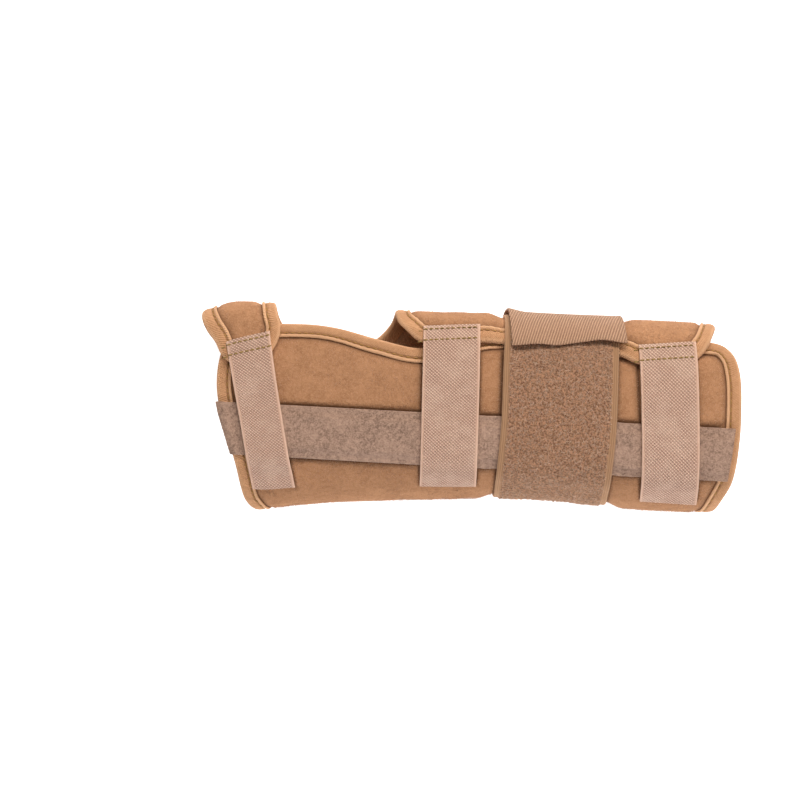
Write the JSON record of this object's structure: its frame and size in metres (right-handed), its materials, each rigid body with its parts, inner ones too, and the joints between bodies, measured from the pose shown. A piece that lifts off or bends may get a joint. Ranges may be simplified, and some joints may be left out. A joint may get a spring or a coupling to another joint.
{
  "type": "wrist brace",
  "caption": "Padded wrap-around wrist brace for a left hand, fastened, with thumb opening, stay pocket, hook straps and a wide wrist strap.",
  "frame": {"origin": "centre of the bounding box at the surface the palm side lies on", "axes": "+X from the finger end to the elbow end, +Y towards the thumb side, +Z towards the back of the hand"},
  "size_m": [0.2402, 0.0958, 0.0613],
  "materials": {
    "sleeve_foam": "brushed loop laminate, tan",
    "binding_tape": "folded knit tape, light tan",
    "pocket_loop": "brushed loop, grey brown",
    "hook_tape": "woven hook tape, pinkish beige",
    "wide_elastic": "curly brushed elastic, brown",
    "hook_tab": "ribbed hook tape back, tan"
  },
  "bodies": {
    "root": {"sleeve": "sleeve_foam", "edge_binding": "binding_tape", "stay_pocket": "pocket_loop", "web_strap": "hook_tape", "wrist_strap": "hook_tape", "forearm_strap": "hook_tape", "wide_strap": "wide_elastic", "wide_strap_tab": "hook_tab"}
  },
  "joints": []
}
